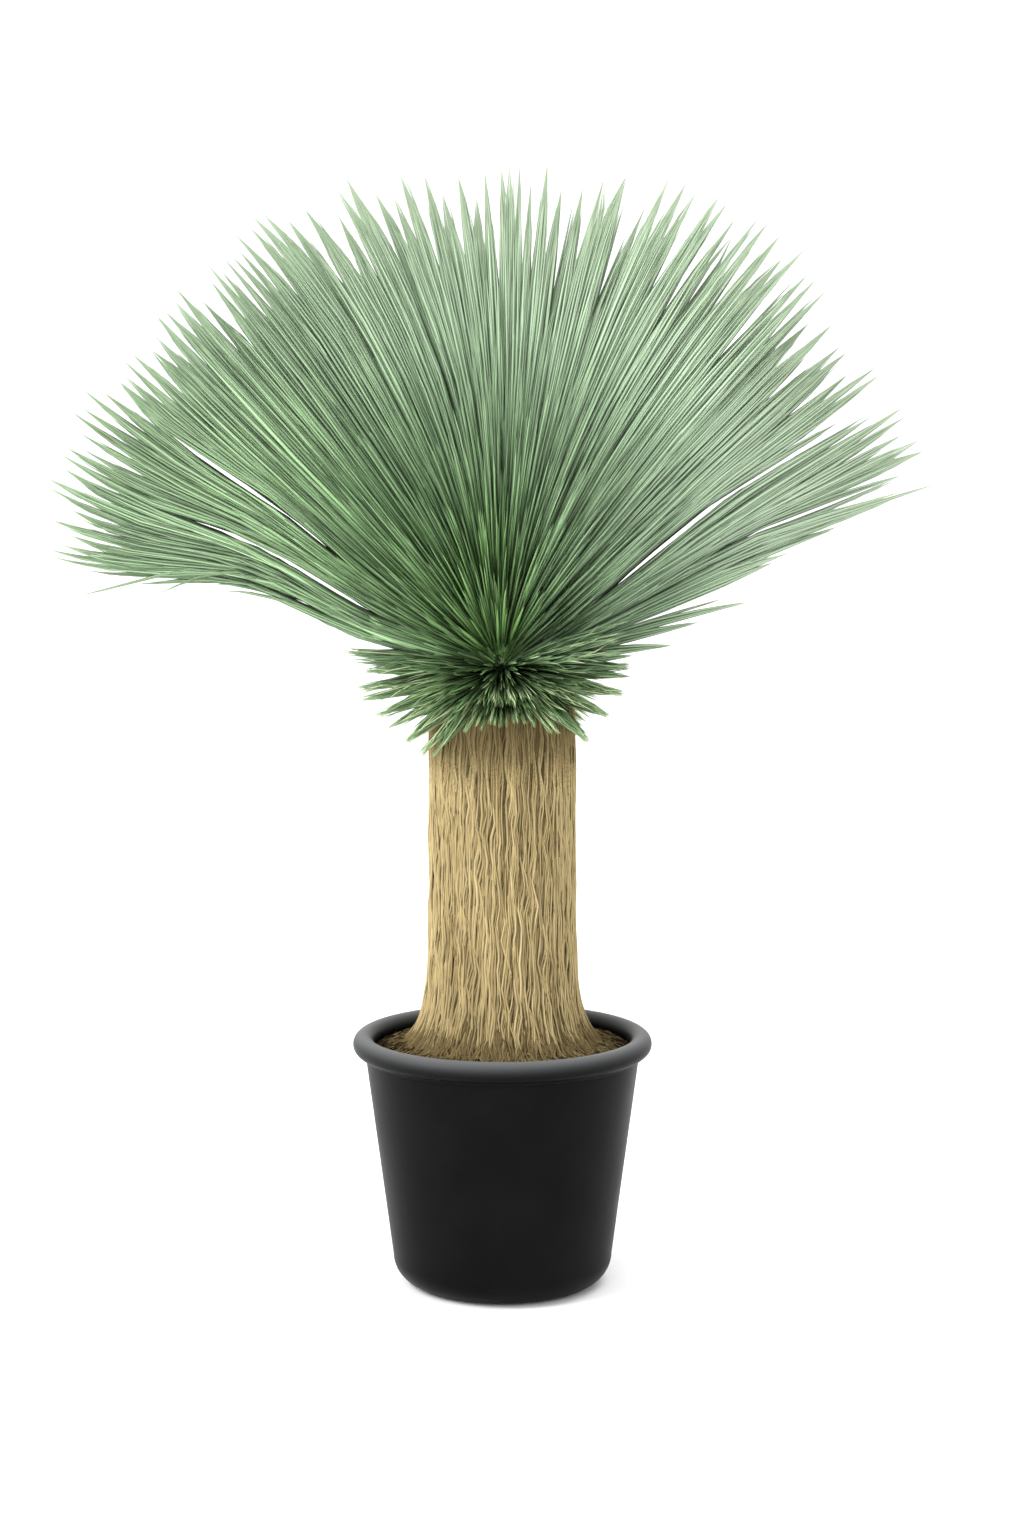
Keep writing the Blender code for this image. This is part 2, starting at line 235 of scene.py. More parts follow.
def makeFibreGroup():
    # Fine lines that run along a blade or strand: noise squeezed across it and stretched along it
    group, given, result = newGroup("fibreLines", ["Across", "Along", "Tone", "Lines", "Breaks"], ["Line"])
    across = mathNode(group, "MULTIPLY", given.outputs["Across"], given.outputs["Lines"])
    along = mathNode(group, "MULTIPLY", given.outputs["Along"], given.outputs["Breaks"])
    own = mathNode(group, "MULTIPLY", given.outputs["Tone"], 91.0)
    place = node(group, "ShaderNodeCombineXYZ", {0: across, 1: along, 2: own}).outputs[0]
    noise = node(group, "ShaderNodeTexNoise", {"Vector": place, "Scale": 1.0, "Detail": 3.0})
    group.links.new(noise.outputs["Fac"], result.inputs["Line"])
    return group


def makeMottleGroup():
    # Two sizes of soft noise on the object's own coordinates, one mask for each
    group, given, result = newGroup("softMottle", ["Vector", "Coarse", "Fine"], ["Broad", "Grain"])
    for label, size in (("Broad", "Coarse"), ("Grain", "Fine")):
        place, scale = given.outputs["Vector"], given.outputs[size]
        noise = node(group, "ShaderNodeTexNoise", {"Vector": place, "Scale": scale, "Detail": 3.0})
        group.links.new(noise.outputs["Fac"], result.inputs[label])
    return group


fibreLines = makeFibreGroup()
softMottle = makeMottleGroup()


def newMaterial(name, roughness, gloss=0.5):
    # a material with a Principled shader ready for its colour and normal
    material = bpy.data.materials.new(name)
    material.use_nodes = True
    tree = material.node_tree
    shader = tree.nodes["Principled BSDF"]
    shader.inputs["Roughness"].default_value = roughness
    shader.inputs["Specular IOR Level"].default_value = gloss
    return material, tree, shader


def attribute(tree, label):
    # a number that the mesh carries on its points
    return node(tree, "ShaderNodeAttribute", attribute_name=label).outputs["Fac"]


def fineLine(tree, tone, lines, breaks):
    # the mask of fine lines on a blade: so many across it, broken so often along it
    given = {"Across": attribute(tree, "across"), "Along": attribute(tree, "along"), "Tone": tone,
             "Lines": lines, "Breaks": breaks}
    return node(tree, "ShaderNodeGroup", given, node_tree=fibreLines).outputs["Line"]


def mottle(tree, coarse, fine):
    # the broad and the fine mask of soft noise on the object's own coordinates, and those coordinates
    place = node(tree, "ShaderNodeTexCoord").outputs["Object"]
    given = {"Vector": place, "Coarse": coarse, "Fine": fine}
    made = node(tree, "ShaderNodeGroup", given, node_tree=softMottle)
    return made.outputs["Broad"], made.outputs["Grain"], place


def bump(tree, shader, height, strength, distance):
    # tilts the shader's normal by the slope of a height
    made = node(tree, "ShaderNodeBump", {"Height": height, "Strength": strength, "Distance": distance})
    tree.links.new(made.outputs[0], shader.inputs["Normal"])


def mottledMaterial(name, roughness, coarse, fine, stops, grain):
    # soft patches of colour, and where it is given, a grain of a strength and depth
    material, tree, shader = newMaterial(name, roughness)
    broad, fineGrain, _ = mottle(tree, coarse, fine)
    tree.links.new(ramp(tree, broad, stops), shader.inputs["Base Color"])
    if grain:
        bump(tree, shader, fineGrain, *grain)
    return material


# Where the viewer sees a leaf

view = {
    "place": (0.0102, -3.0, 0.910),
    "pitch": math.radians(6.72),
    "lens": 66.8,
    "sensor": 36.0,
    "frame": (1024, 1536),
}
eye = {"across": 502.0, "down": 665.5, "centre": (0.0, 0.0, 0.6660), "step": 0.001056}


def fromView(turn, reach, depth):
    # Leaves are laid out on the plane that faces the viewer through the head's centre: turn is the angle
    # round the centre in degrees, reach the distance from it in steps of about a millimetre, and depth how
    # far the leaf stands behind that plane (in front if negative) along the line of sight.
    length = view["lens"] / view["sensor"] * view["frame"][1]
    right = (eye["across"] + reach * np.cos(np.radians(turn)) - view["frame"][0] / 2) / length
    up = (view["frame"][1] / 2 - eye["down"] + reach * np.sin(np.radians(turn))) / length
    level, low = math.cos(view["pitch"]), math.sin(view["pitch"])
    ray = np.stack([right, level + up * low, up * level - low], axis=-1)
    place = np.array(view["place"])
    towards = np.array(eye["centre"]) - place
    far = np.linalg.norm(towards)
    travel = (far + depth) / (ray @ (towards / far))
    return place + ray * travel[..., None]


# The leaves: their finish

leafFinish = {
    "stops": [(0.0, (0.124, 0.236, 0.073)), (0.25, (0.163, 0.272, 0.126)), (0.5, (0.222, 0.331, 0.189)),
              (0.75, (0.290, 0.404, 0.262)), (1.0, (0.405, 0.515, 0.370))],
    "point": (0.15, 0.18, 0.095),
    # pale waxy colour of some leaves, also used as a painted highlight along thin streaks
    "waxyAndSheen": (0.30, 0.405, 0.245),
    "roughness": 0.6,
    "gloss": 0.3,
    "toneInside": 1.70,
    "toneAtRim": 0.36,
    # strength of the painted shade on blade edges and painted highlight on the rib, at the centre and at the
    # rim
    "edgeInside": 1.75,
    "edgeAtRim": 1.00,
    "middleTone": 0.38,
    "darkest": 0.16,
}


def makeLeafMaterial(name, finish):
    # Colour runs from deep green where light is 0 to sage where it is 1. Each leaf has its own tone, fine
    # parallel lines, a painted highlight on its rib and painted shade on its edges, which all stand out most
    # in the dark leaves. It takes the dull colour of its point as dry rises above 0, and a pale waxy colour
    # that also serves as a painted highlight as dry falls below.
    material, tree, shader = newMaterial(name, finish["roughness"], finish["gloss"])
    tone, light, dry = [attribute(tree, label) for label in ("tone", "light", "dry")]
    base = ramp(tree, light, finish["stops"])
    inner = mathNode(tree, "POWER", mathNode(tree, "SUBTRACT", 1.0, light), 2.0)
    toneContrast = runBetween(tree, inner, finish["toneAtRim"], finish["toneInside"])
    edgeContrast = runBetween(tree, light, finish["edgeInside"], finish["edgeAtRim"])
    own = mathNode(tree, "MULTIPLY", mathNode(tree, "SUBTRACT", tone, finish["middleTone"]), toneContrast)
    # painted shade darkens each blade's edges and a painted highlight lightens its rib, in the colour itself
    edgeShade = mathNode(tree, "POWER", mathNode(tree, "ABSOLUTE", attribute(tree, "across")), 2.2)
    edgeShade = mathNode(tree, "MULTIPLY", mathNode(tree, "SUBTRACT", 0.22, edgeShade), edgeContrast)
    line = fineLine(tree, tone, 2.6, 5.0)
    streak = mathNode(tree, "MULTIPLY", mathNode(tree, "SUBTRACT", line, 0.5), toneContrast)
    shade = mathNode(tree, "ADD", mathNode(tree, "ADD", own, 1.0), mathNode(tree, "ADD", edgeShade, streak))
    shade = mathNode(tree, "MAXIMUM", shade, finish["darkest"])
    grey = node(tree, "ShaderNodeCombineColor", {0: shade, 1: shade, 2: shade}).outputs[0]
    toned = mixColour(tree, "MULTIPLY", 1.0, base, grey)
    dried = mixColour(tree, "MIX", mathNode(tree, "MAXIMUM", dry, 0.0), toned, finish["point"])
    # where dry falls below 0 the colour turns pale waxy, which also serves as a painted highlight
    waxyAndSheen = mathNode(tree, "MAXIMUM", mathNode(tree, "MULTIPLY", dry, -1.0), 0.0)
    tree.links.new(mixColour(tree, "MIX", waxyAndSheen, dried, finish["waxyAndSheen"]), shader.inputs["Base Color"])
    return material


# The leaves: how they fan out

# Each row is a leaf named by its turn 400 steps from the centre, and says how it bends: by how many degrees
# it leans near the centre, how much more it turns over its whole length, and how far it dips half way.
bends = [
    (14, -8, 0, 0), (20, -8, -1.5, 0), (25, -12, 2, 2.5), (32, -14, 0.5, -0.5), (35.3, -12, 1.5, 2),
    (38.5, -7, 0.5, 1), (44, 4, 1, 0), (56, 5.5, 6, 0), (68, 2, 7.5, 0), (80, 4.5, 1.5, 0), (92, 8, -2.5, 0),
    (104, 13, -9.5, -0.5), (116, 10, -11.5, 1.5), (128, -1, -1.5, 0), (140, 4.5, 4.5, -0.5),
    (145, 1.5, 5.5, -2.5), (152, 0, 3, -2.5), (158, -3.5, 7, -5.5), (165, -2.5, 2.5, -6.5),
    (172, -5.5, 0, -9.5),
]
# Reach of the fan's tips by turn
fanReach = [
    (20.5, 230), (21.8, 290), (22.4, 400), (24.5, 474), (33, 476), (36.5, 424), (38, 482), (47, 472),
    (50, 513), (64, 521), (72, 516), (80, 509), (90, 504), (96, 505.5), (102, 508), (111, 513), (117, 515),
    (122, 495), (128, 500), (135, 493), (142, 503), (151, 500), (160, 488), (166, 470), (167.6, 410),
    (169, 340), (171, 280),
]
# The gaps that part the fan's points into groups: turn, reach where the gap opens, and points before it
fanGaps = [
    (24.9, 235, 4), (35.3, 150, 7), (37, 356, 1), (41, 367, 3), (45, 372, 2), (47.4, 400, 1), (54.5, 330, 4),
    (59.8, 394, 3), (65.2, 330, 4), (68.3, 382, 2), (75.1, 361, 4), (82.1, 331, 3), (85.8, 363, 2),
    (90.5, 373, 4), (95, 403, 3), (98.8, 404, 2), (103.8, 418, 3), (109.5, 413, 3), (112.2, 416, 1),
    (118.3, 426, 4), (127.9, 413, 7), (139.7, 426, 7), (145.5, 428, 4), (157.6, 425, 9), (161.4, 406, 3),
    (164.1, 409, 2), (167.3, 205, 4), (171, 210, 3),
]
# The same two tables for the skirt
skirtReach = [
    (171, 182), (176, 170), (181, 155), (192, 152), (205, 140), (218, 139), (230, 133), (235, 112), (239, 84),
    (248, 71), (270, 64), (290, 63), (300, 74), (308, 90), (314, 108), (320, 120), (334, 128), (346, 137),
    (356, 136), (364, 130), (367, 128), (372, 132), (382, 150),
]
skirtGaps = [
    (185.4, 101, 3), (197.4, 115, 2), (205.4, 106, 1), (213, 115, 1), (223.4, 119, 1), (236, 88, 2),
    (303, 66, 11), (313, 86, 2), (328, 98, 1), (341, 96, 1), (352, 107, 1), (362.7, 89, 2), (369.5, 108, 1),
    (382, 120, 3),
]
# Leaves that leave the fan's flow: home, reach where they leave, tip's turn and reach, number, half spread
strays = [
    (165.3, 330, 170.9, 434, 6, 0.3), (164.3, 290, 168.9, 356, 6, 0.3), (169.6, 150, 165.4, 292, 16, 0.9),
    (168.8, 170, 163.6, 258, 10, 0.8), (24.2, 300, 22.6, 479, 9, 0.5), (24.6, 330, 23.4, 442, 7, 0.5),
    (21.9, 240, 21.4, 311, 12, 0.7), (21.0, 220, 20.8, 292, 14, 0.8), (18.6, 150, 16.8, 233, 7, 0.5),
    (17.2, 135, 14.4, 256, 36, 2.0), (14.2, 120, 12.4, 203, 34, 2.2), (9.8, 100, 6.7, 172, 30, 2.4),
    (6.0, 85, 4.3, 132, 24, 2.4),
]
# Slits that open and close inside the fan: turn, where they open and close, half width in degrees at 200
closedSlits = [
    (145.2, 178, 408, 1.3), (155.6, 92, 360, 1.45), (167.0, 165, 305, 0.9), (63.0, 395, 470, 0.9),
    (35.3, 100, 300, 1.2), (25.6, 215, 420, 1.1),
]
longLeaf = {
    "width": 0.0027,
    "thickness": 0.0010,
    "stations": np.array([0.0, 0.13, 0.29, 0.47, 0.65, 0.81, 0.94, 1.0]),
    "front": 5400,
    "back": 4200,
    "from": 20.4,
    "ends": (20, 172),
    "frontDepth": 0.272,
    "backDepth": 0.290,
    "rootDepth": 0.060,
    "wobble": 0.9,
    "weave": 0.0035,
    "middleTone": 0.39,
}
middleLeaf = {
    "width": 0.0034,
    "thickness": 0.0012,
    "stations": np.array([0.0, 0.2, 0.45, 0.7, 0.9, 1.0]),
    "count": 800,
    "depth": 0.255,
    "rootDepth": 0.03,
}
skirtLeaf = {
    "width": 0.0052,
    "thickness": 0.0018,
    "stations": np.array([0.0, 0.22, 0.45, 0.68, 0.87, 1.0]),
    "front": 1750,
    "back": 800,
    "from": 171.0,
    "length": 0.152,
}


# In the functions below each is the shape of a column with a row for each leaf, and s runs along a leaf from
# 0 at its root to 1 at its tip

def bendOf(home, reach):
    # Turn of a leaf at a distance from the centre: its home turn, its near lean fading as exp(-reach / 70),
    # its far turn falling in a straight line to nothing at 400, and its dip as a bell round 250
    homes, near, far, dip = np.array(bends, dtype=float).T
    bell = np.exp(-((reach - 250) / 100) ** 2) - math.exp(-2.25)
    return (home + np.interp(home, homes, near) * np.exp(-reach / 70)
            + np.interp(home, homes, far) * (1 - reach / 400) + np.interp(home, homes, dip) * bell)


def edgePoints(start, gaps, reaches, vary, shallow, seed):
    # The tips of an edge and the gap after each. Between two named gaps the tips are evenly spaced with a
    # seeded shift and a third of a step free at both ends, a seeded share short of the edge's own reach, and
    # the gaps between them open a seeded way below.
    draw = np.random.default_rng(seed)
    turns, reach = np.array(reaches, dtype=float).T
    rows = []
    for turn, opens, count in gaps:
        step = (turn - start) / (count + 0.66)
        tip = start + step * (np.arange(count) + 0.83 + 0.22 * draw.uniform(-1, 1, count))
        far = np.interp(tip, turns, reach) * (1 - vary * draw.random(count) ** 1.5)
        between = start + step * (np.arange(count) + 1.33)
        notch = np.minimum(far, np.roll(far, -1)) * (shallow + (0.95 - shallow) * draw.random(count))
        between[-1] = turn
        notch[-1] = opens
        rows.append(np.stack([tip, far, between, notch], axis=-1))
        start = turn
    return np.concatenate(rows)


def pointOf(tips, start, home):
    # for each leaf the point it belongs to, that point's turn and reach, and where the gap beside it opens
    edges = np.concatenate([[start], tips[:, 2]])
    opening = np.concatenate([[tips[0, 3]], tips[:, 3]])
    point = np.clip(np.searchsorted(edges, home) - 1, 0, len(tips) - 1)
    opens = np.where(home < tips[point, 0], opening[point], opening[point + 1])
    return point, tips[point, 0], tips[point, 1], np.minimum(opens, tips[point, 1] - 12)


def drawTogether(home, reach, tip, tipReach, opens, power):
    # the leaves of a point close up towards its tip by a power of the distance left from the gap's opening
    left = np.clip(1 - (reach - opens) / (tipReach - opens), 0, 1)
    return tip + (home - tip) * left ** power


def slitPush(home, reach):
    # a slit parts its leaves by a half wave along its length, by the same distance near the centre as far
    # out, and fading over 3.2 degrees on each side
    push = np.zeros(np.broadcast(home, reach).shape)
    for middle, opens, closes, half in closedSlits:
        side = np.where(home >= middle, 1.0, -1.0)
        near = np.clip(1 - np.abs(home - middle) / 3.2, 0, 1)
        inside = np.clip((reach - opens) / (closes - opens), 0, 1)
        push = push + side * half * near * np.sin(math.pi * inside) ** 0.45 * 200 / np.maximum(reach, 60)
    return push


def fanLight(turn, reach):
    # how light the leaves are, 0 to 1: dark at the centre, partly their own deeper green and partly painted
    # shade where they crowd together, and light at the rim, soonest and most on the right
    turns = [25, 50, 75, 90, 110, 130, 150, 163, 172]
    starts = np.interp(turn, turns, [-15, 10, 65, 125, 112, 62, 28, -25, -40])
    spans = np.interp(turn, turns, [285, 315, 315, 280, 305, 400, 400, 300, 260])
    most = np.interp(turn, turns, [0.92, 0.84, 0.84, 0.88, 0.80, 0.54, 0.42, 0.48, 0.50])
    rim = (0.07 + 0.12 * np.exp(-((turn - 133) / 14) ** 2)) * smoothStep((reach - 330) / 100)
    least = 0.06 * smoothStep((reach - 50) / 35)
    return np.maximum(np.clip((reach - starts) / spans, 0, 1) ** 0.72 * most + rim, least)


def roomAt(home, least, over):
    # a leaf's share of room: the least at the fan's two ends, rising to 1 over some degrees inwards
    first, last = longLeaf["ends"]
    return least + (1 - least) * smoothStep(np.minimum(home - first, last - home) / over)


def centreTangle(draw, each, out, turn, fade):
    # near the centre each leaf turns aside by a random angle, which fades with the distance from it
    return turn * draw.normal(0, 1, each) * np.exp(-out / fade)


def leafPiece(name, paths, s, halfWidth, thick, side, roll, tone, light, dry, material):
    # blades along the paths, their ribs turned to the front (or back) and rolled about their own length
    front = np.array([0.0, side, 0.0])
    heading = unit(paths[:, 4] - paths[:, 2])
    facing = np.cos(roll) * front + np.sin(roll) * unit(np.cross(front, heading))
    return addBlades(name, paths, halfWidth, thick, facing[:, None, :], material, {
        "along": s,
        "tone": np.clip(tone, -0.5, 1.6),
        "light": np.clip(light, 0, 1),
        "dry": np.clip(dry, -1, 1)})


def longThickness(s):
    # full along the leaf, and thinner over its last third
    return longLeaf["thickness"] * (0.4 + 0.6 * taper(s, 0.3))


def longLeaves(name, count, side, material, seed):
    # Homes are even across the fan and thinned towards its two ends. Depth and tone go round in fixed steps
    # from one leaf to the next, which sets deep beside shallow and light beside dark. Each leaf runs out
    # with its bend, closes up into its point, and stands in front of or behind the fan's plane by its
    # root's depth near the centre and by its own lean towards the tip.
    draw = np.random.default_rng(seed)
    start = longLeaf["from"]
    tips = edgePoints(start, fanGaps, fanReach, 0.075, 0.80, 7)
    home = start + (tips[-1, 2] - start) * (np.arange(count) + draw.random(count)) / count
    home = home[draw.random(count) < roomAt(home, 0.42, 28)][:, None]
    each = home.shape
    number = np.arange(len(home))[:, None]
    point, tip, tipReach, opens = pointOf(tips, start, home)
    room = roomAt(home, 0.25, 34)
    share = (number * goldenStep + 0.1 * draw.random(each)) % 1.0
    leanShare = 1 - (1 - share) ** 1.8
    early = draw.random(each) < 0.25 + 0.50 * leanShare
    short = (0.08 + 0.16 * leanShare) * draw.random(each) ** 1.3
    reach = tipReach * np.where(early, 0.98 - short, 1.012 - 0.012 * draw.random(each))
    if side > 0:
        reach = reach * (1 - 0.085 * leanShare * room)
    else:
        reach = reach * (1 - 0.09 * (leanShare * room) ** 2)
    s = longLeaf["stations"]
    rootReach = 2.0 + 13.0 * draw.random(each)
    out = rootReach + (reach - rootReach) * s
    close = drawTogether(home, out, tip, 1.012 * tipReach, opens, 1.2)
    loose = draw.random(each) < 0.03
    close = np.where(loose, 0.5 * close + 0.5 * home, close)
    close = close + np.where(early, 0.30, 0.0) * (home - close)
    turn = bendOf(close, out) + slitPush(home, out)
    turn = turn + 0.28 * draw.normal(0, 1, each) * np.sin(math.pi * s) * (1 - 0.6 * s)
    turn = turn + centreTangle(draw, each, out, 9.0, 16.0)
    wobble = longLeaf["wobble"] * draw.normal(0, 1, out.shape) * (1 - s ** 3)
    turn = turn + np.degrees(wobble / np.maximum(out, 30))
    rootDepth = longLeaf["rootDepth"] * (1.12 * share - 0.12)
    tipDepth = longLeaf["backDepth" if side > 0 else "frontDepth"] * leanShare * room
    along = np.clip(out / 500, 0, 1)
    depth = rootDepth * (1 - along) ** 1.6 + tipDepth * along ** 0.88
    depth = depth + longLeaf["weave"] * draw.normal(0, 1, out.shape) * np.sin(math.pi * s)
    paths = fromView(turn, out, side * depth)
    width = (1 + 0.60 * np.exp(-((s - 0.2) / 0.22) ** 2)) * taper(s, 0.26) ** 0.5
    right = smoothStep((62 - home) / 26)
    sides = smoothStep((home - 112) / 30) + right
    width = 0.5 * longLeaf["width"] * ((0.78 + 0.44 * draw.random(each)) * (1 + 0.12 * sides)) * width
    pointTone = np.random.default_rng(5).random(len(tips))
    clump = 0.5 + 0.5 * softNoise(home * 0.55, home * 0.0, 61)
    inTurn = (number * 0.1154) % 1.0
    strand = np.floor(home / 0.62 + 0.2 * draw.random(each)).astype(int)
    shared = np.random.default_rng(23).random((300, len(s)))[strand[:, 0]]
    mixed = 0.88 * (0.6 * inTurn + 0.4 * draw.random(each)) + 0.12 * shared
    tone = 0.02 + 0.80 * mixed ** 1.5 + (0.05 * pointTone[point] + 0.10 * clump)
    spread = 1 + 1.7 * smoothStep((home - 108) / 30) + 0.3 * right
    middle = longLeaf["middleTone"]
    # close to the centre the tone drops as painted shade where the leaves crowd together
    tone = middle + (tone - middle) * spread - 0.35 * np.exp(-(out / 22) ** 2)
    # a few leaves near the centre turn pale waxy as painted highlight streaks
    pale = draw.random(each) < 0.08
    dry = 0.45 * np.clip((s - 0.90) / 0.10, 0, 1) - 0.9 * pale * np.exp(-(out / 75) ** 2)
    dry = dry - 0.10 * smoothStep((turn - 118) / 25) * smoothStep((out - 60) / 150) * (1 - s ** 6)
    return leafPiece(name, paths, s, width, longThickness(s), side, draw.normal(0, 0.12, each), tone,
                     fanLight(turn, out), dry, material)


def strayLeaves(name, material, seed):
    # A few bundles leave the fan's flow: from a set reach they turn steadily to their own tip
    draw = np.random.default_rng(seed)
    rows = np.array(strays, dtype=float)
    rows = np.repeat(rows, rows[:, 4].astype(int), axis=0)
    each = (len(rows), 1)
    home, leaves, tipTurn, tipReach = rows.T[:4, :, None]
    home = home + rows[:, 5:] * draw.uniform(-1, 1, each)
    s = longLeaf["stations"]
    reach = tipReach * (1 - 0.10 * draw.random(each) ** 2)
    out = 6.0 + (reach - 6.0) * s
    away = np.clip((out - leaves) / (tipReach - leaves), 0, 1)
    turn = bendOf(home, out) + (tipTurn - bendOf(home, tipReach)) * away
    paths = fromView(turn, out, -(0.015 + 0.10 * draw.random(each) * s))
    width = 0.5 * longLeaf["width"] * taper(s, 0.30) ** 0.4
    tone = 0.10 + 0.70 * draw.random(each)
    return leafPiece(name, paths, s, width, longThickness(s), -1.0, draw.normal(0, 0.2, each), tone,
                     fanLight(np.maximum(turn, 25), out), 0.4 * s ** 8, material)


def middleLeaves(name, side, material, seed):
    # Shorter leaves stand between the long ones and the skirt and lean to the front (or back); seen from
    # the front they run with the long ones and stop part of the way out
    draw = np.random.default_rng(seed)
    each = (middleLeaf["count"], 1)
    home = 30 + 132 * draw.random(each)
    lean = draw.random(each)
    reach = (60 + 300 * (1 - lean)) * (0.85 + 0.3 * draw.random(each))
    s = middleLeaf["stations"]
    rootReach = 2.0 + 10.0 * draw.random(each)
    out = rootReach + (reach - rootReach) * s
    turn = bendOf(home, out) + slitPush(home, out) + centreTangle(draw, each, out, 9.0, 16.0)
    tipDepth = middleLeaf["depth"] * roomAt(home, 0.3, 40) * (0.78 + 0.22 * draw.random(each))
    tipDepth = tipDepth * (0.88 + 0.12 * np.sin(math.pi * lean))
    rootDepth = middleLeaf["rootDepth"]
    paths = fromView(turn, out, side * (rootDepth + (tipDepth - rootDepth) * s))
    width = (0.72 + 0.28 * smoothStep(s / 0.4)) * taper(s, 0.25)
    width = 0.5 * middleLeaf["width"] * (0.75 + 0.4 * draw.random(each)) * width
    tone = 0.05 + 0.80 * draw.random(each) ** 1.7
    return leafPiece(name, paths, s, width, middleLeaf["thickness"], side, draw.normal(0, 0.35, each), tone,
                     fanLight(turn, out), 0.0, material)


def skirtFront(draw, each, s):
    # Turns and reaches are drawn from the skirt's edge; a leaf's depth is what is left of its length.
    start = skirtLeaf["from"]
    tips = edgePoints(start, skirtGaps, skirtReach, 0.10, 0.66, 9)
    home = start + (tips[-1, 2] - start) * draw.random(each)
    _, tip, tipReach, opens = pointOf(tips, start, home)
    rim = draw.random(each) < 0.60
    inner = np.maximum(opens * (0.44 + 0.56 * draw.random(each) ** 0.8), 34 + 8 * draw.random(each))
    inner = np.where(draw.random(each) < 0.08, 14 + 28 * draw.random(each), inner)
    reach = np.where(rim, tipReach * (1 - 0.12 * draw.random(each) ** 2), inner)
    length = skirtLeaf["length"] * (0.82 + 0.22 * draw.random(each))
    tipDepth = np.sqrt(np.maximum(length ** 2 - (reach * eye["step"]) ** 2, 0.0)) + 0.03 * draw.random(each)
    rootReach = 2.0 + 7.0 * draw.random(each)
    out = rootReach + (reach - rootReach) * s
    close = drawTogether(home, out, tip, tipReach, 0.55 * opens, 1.1)
    hook = np.where(rim, 0.8, 2.6) * draw.normal(0, 1, each) * s ** 3
    sway = np.where(rim, 1.4, 2.2) * draw.normal(0, 1, each) * np.sin(math.pi * s)
    turn = close + hook + sway + centreTangle(draw, each, out, 7.0, 14.0)
    tipDepth = tipDepth + 0.05 * smoothStep((home - 356) / 10)
    # light rises from the centre outwards as painted shade; it is raised by 0.10 everywhere, and on the right
    # takes the fan's value, as painted light against the shade of the long leaves above
    lift = 0.10 + np.clip((out - 22) / 420, 0, 1)
    lift = lift + (fanLight(25.0, out) - lift) * smoothStep((home - 352) / 16)
    return fromView(turn, out, -tipDepth * s), lift


def skirtBack(draw, each, s):
    # Behind, leaves of the same length point out and down all round the neck and sag a little.
    drop = np.radians(-48 + 66 * draw.random(each))
    heading = polar(np.cos(drop), math.pi * draw.random(each), np.sin(drop))
    seenTurn = np.degrees(np.arctan2(heading[..., 2], np.abs(heading[..., 0])))
    limit = np.interp(seenTurn, [-60, -30, 0, 20], [98, 104, 104, 112]) * eye["step"]
    length = skirtLeaf["length"] * (0.82 + 0.22 * draw.random(each))
    length = np.minimum(length, limit / np.maximum(np.hypot(heading[..., 0], heading[..., 2]), 0.2))
    run = length * s
    paths = np.array(eye["centre"]) + run[..., None] * heading
    paths[..., 2] -= 0.008 * s ** 2 * draw.random(each)
    # light rises from the centre outwards as painted shade of the crowded centre
    return paths, 0.02 + np.clip((run / eye["step"] - 22) / 420, 0, 1)


def skirtLeaves(name, count, side, material, seed):
    # Short leaves stand out of the centre below the long ones, wider than those and more mixed in tone,
    # with some thin pale ones among them whose near-white colour is partly a painted highlight. All are
    # lighter near their roots as painted light against the shade there.
    draw = np.random.default_rng(seed)
    each = (count, 1)
    s = skirtLeaf["stations"]
    paths, light = (skirtBack if side > 0 else skirtFront)(draw, each, s)
    pale = draw.random(each) < np.where(paths[:, -1:, 2] > eye["centre"][2] - 0.01, 0.10, 0.30)
    width = (0.60 + 0.40 * smoothStep(s / 0.5)) * taper(s, 0.50) ** 0.85
    width = 0.5 * skirtLeaf["width"] * (np.where(pale, 0.24, 0.70) + 0.34 * draw.random(each)) * width
    thick = skirtLeaf["thickness"] * (0.4 + 0.6 * (1 - s))
    # tone rises near the root as painted light against the shade among the crowded roots
    tone = np.where(pale, 0.85, 0.85 * draw.random(each) ** 1.5) + 0.30 * np.exp(-(s * 3.2) ** 2)
    dry = np.where(pale, -0.15 - 0.80 * s, -0.10 * np.clip((s - 0.80) / 0.20, 0, 1))
    roll = draw.normal(0, 0.6, each)
    return leafPiece(name, paths, s, width, thick, side, roll, tone, light, dry, material)


print("leaves")
sageLeaf = makeLeafMaterial("sageLeafFinish", leafFinish)
# the skirt's pale colour is near white: pale leaves brightened into a painted highlight
skirtGreen = makeLeafMaterial("skirtLeafFinish", {**leafFinish, "waxyAndSheen": (0.78, 0.87, 0.54)})
headPieces = [
    longLeaves("longLeavesFront", longLeaf["front"], -1.0, sageLeaf, 11),
    longLeaves("longLeavesBack", longLeaf["back"], 1.0, sageLeaf, 12),
    middleLeaves("middleLeavesFront", -1.0, sageLeaf, 13),
    middleLeaves("middleLeavesBack", 1.0, sageLeaf, 14),
    skirtLeaves("skirtLeavesFront", skirtLeaf["front"], -1.0, skirtGreen, 15),
    skirtLeaves("skirtLeavesBack", skirtLeaf["back"], 1.0, skirtGreen, 16),
    strayLeaves("strayLeaves", sageLeaf, 17),
]

